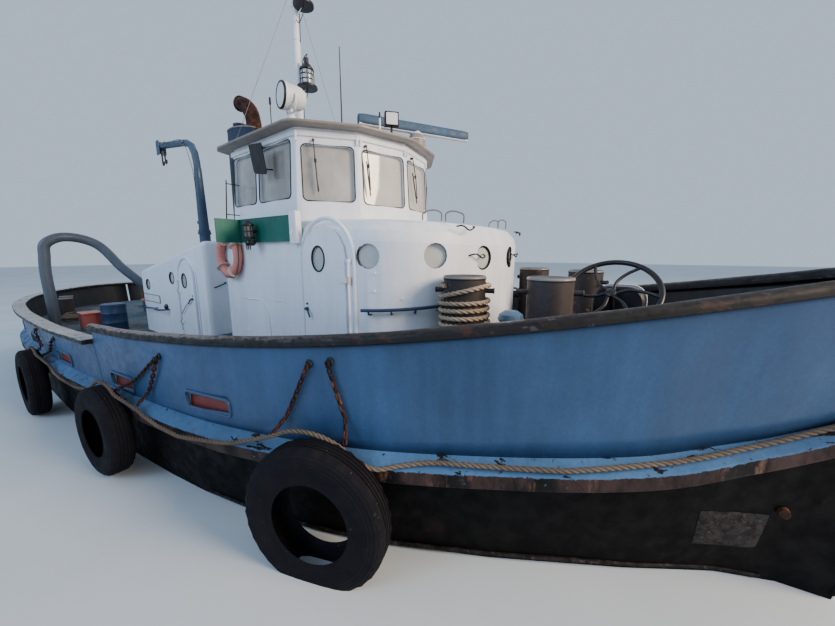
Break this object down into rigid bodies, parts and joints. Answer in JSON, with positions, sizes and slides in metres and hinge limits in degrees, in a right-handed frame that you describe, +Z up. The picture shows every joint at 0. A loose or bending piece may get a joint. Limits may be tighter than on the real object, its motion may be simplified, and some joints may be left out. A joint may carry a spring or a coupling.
{
  "type": "harbour tug boat",
  "caption": "Small harbour tug with raised sheer bow, wheelhouse forward, engine casing, tow hook, tyre fenders, swinging doors, davit, rudder and propeller.",
  "frame": {"origin": "on the centreline amidships at the waterline", "axes": "+X to the bow, +Y to port, +Z up"},
  "size_m": [17.136, 6.4548, 8.82],
  "materials": {
    "aft_rail_grey": "matt, worn",
    "belting_rust": "matt, rusted",
    "black_metal": "satin",
    "blue_paint": "satin, worn",
    "board_port": "satin red",
    "board_stbd": "satin green",
    "bollard_metal": "worn",
    "bronze": "worn",
    "buoy_orange": "matt",
    "engine_paint": "satin",
    "funnel_blue": "satin",
    "glass": "clear",
    "hatch_red": "matt",
    "helm_grey": "satin",
    "hook_metal": "worn",
    "hull_paint": "satin black, rust streaked",
    "light_blue": "satin",
    "radar_blue": "gloss",
    "rail_grey": "matt, worn",
    "roof_beige": "satin",
    "rope": "laid rope",
    "rudder_black": "satin",
    "rust": "rusted",
    "tyre_rubber": "matt",
    "white_metal": "satin",
    "white_paint": "gloss",
    "windlass_metal": "worn"
  },
  "bodies": {
    "tug": {"belting": "belting_rust", "bollard_rope": "rope", "bollards_aft_port": "bollard_metal", "bollards_aft_stbd": "bollard_metal", "bollards_fore_port": "bollard_metal", "bollards_fore_stbd": "bollard_metal", "bulwark_aft": "blue_paint", "bulwark_fore": "blue_paint", "casing_back": "white_paint", "casing_fore": "white_paint", "casing_side_port": "white_paint", "casing_side_stbd": "white_paint", "casing_top": "white_paint", "davit_base": "light_blue", "deckhouse_back": "white_paint", "deckhouse_front": "white_paint", "deckhouse_side_port": "white_paint", "deckhouse_side_stbd": "white_paint", "deckhouse_top": "white_paint", "engine": "engine_paint", "exhaust_elbow": "rust", "floodlight": "black_metal", "funnel": "funnel_blue", "hatch_coaming": "light_blue", "helm": "helm_grey", "hull": "hull_paint", "lifebuoy": "buoy_orange", "mast": "white_metal", "mushroom_vent": "light_blue", "rail_aft": "aft_rail_grey", "rail_fore": "rail_grey", "side_rope": "rope", "sidelight_board_port": "board_port", "sidelight_board_stbd": "board_stbd", "tow_hoop_port": "light_blue", "tow_hoop_stbd": "light_blue", "tow_post": "black_metal", "tyre_1_port": "tyre_rubber", "tyre_1_stbd": "tyre_rubber", "tyre_2_port": "tyre_rubber", "tyre_2_stbd": "tyre_rubber", "tyre_3_port": "tyre_rubber", "tyre_3_stbd": "tyre_rubber", "wheelhouse": "white_paint", "wheelhouse_glazing": "glass", "wheelhouse_roof": "roof_beige", "windlass": "windlass_metal"},
    "propeller_body": {"propeller": "bronze"},
    "rudder_body": {"rudder": "rudder_black"},
    "deckhouse_door_stbd_body": {"deckhouse_door_stbd": "white_paint"},
    "deckhouse_door_port_body": {"deckhouse_door_port": "white_paint"},
    "casing_door_stbd_body": {"casing_door_stbd": "white_paint"},
    "casing_door_port_body": {"casing_door_port": "white_paint"},
    "radar_body": {"radar_scanner": "radar_blue"},
    "searchlight_body": {"searchlight": "white_metal"},
    "davit_body": {"davit_arm": "light_blue"},
    "hook_body": {"tow_hook": "hook_metal"},
    "hatch_lid_body": {"hatch_lid": "hatch_red"},
    "handwheel_body": {"windlass_handwheel": "windlass_metal"}
  },
  "joints": [
    {"name": "propeller_spin", "type": "hinge", "parent": "tug", "child": "propeller_body", "pos_m": [-6.026, 0, -1.04], "axis": [1, 0, 0], "continuous": true},
    {"name": "rudder_turn", "type": "hinge", "parent": "tug", "child": "rudder_body", "pos_m": [-7, 0, -1], "axis": [0, 0, 1], "range_deg": [-35, 35]},
    {"name": "deckhouse_door_stbd_hinge", "type": "hinge", "parent": "tug", "child": "deckhouse_door_stbd_body", "pos_m": [4.04, -1.464, 2.1], "axis": [0, 0, 1], "range_deg": [0, 60]},
    {"name": "deckhouse_door_port_hinge", "type": "hinge", "parent": "tug", "child": "deckhouse_door_port_body", "pos_m": [4.04, 1.464, 2.1], "axis": [0, 0, -1], "range_deg": [0, 60]},
    {"name": "casing_door_stbd_hinge", "type": "hinge", "parent": "tug", "child": "casing_door_stbd_body", "pos_m": [-0.82, -1.194, 1.8], "axis": [0, 0, -1], "range_deg": [0, 110]},
    {"name": "casing_door_port_hinge", "type": "hinge", "parent": "tug", "child": "casing_door_port_body", "pos_m": [-0.82, 1.194, 1.8], "axis": [0, 0, 1], "range_deg": [0, 110]},
    {"name": "radar_spin", "type": "hinge", "parent": "tug", "child": "radar_body", "pos_m": [3.25, 0.734, 4.44], "axis": [0, 0, 1], "continuous": true},
    {"name": "searchlight_pan", "type": "hinge", "parent": "tug", "child": "searchlight_body", "pos_m": [2.39, -0.82, 4.39], "axis": [0, 0, 1], "range_deg": [-120, 120]},
    {"name": "davit_swing", "type": "hinge", "parent": "tug", "child": "davit_body", "pos_m": [-0.06, -0.96, 3], "axis": [0, 0, 1], "range_deg": [0, 100]},
    {"name": "hook_swing", "type": "hinge", "parent": "tug", "child": "hook_body", "pos_m": [-3.78, 0, 1.66], "axis": [0, 0, 1], "range_deg": [-60, 60]},
    {"name": "hatch_lid_hinge", "type": "hinge", "parent": "tug", "child": "hatch_lid_body", "pos_m": [-4.652, 0, 1.37], "axis": [0, 1, 0], "range_deg": [0, 95]},
    {"name": "handwheel_turn", "type": "hinge", "parent": "tug", "child": "handwheel_body", "pos_m": [6.14, -0.24, 2.33], "axis": [0, -0.7071, 0.7071], "continuous": true}
  ]
}
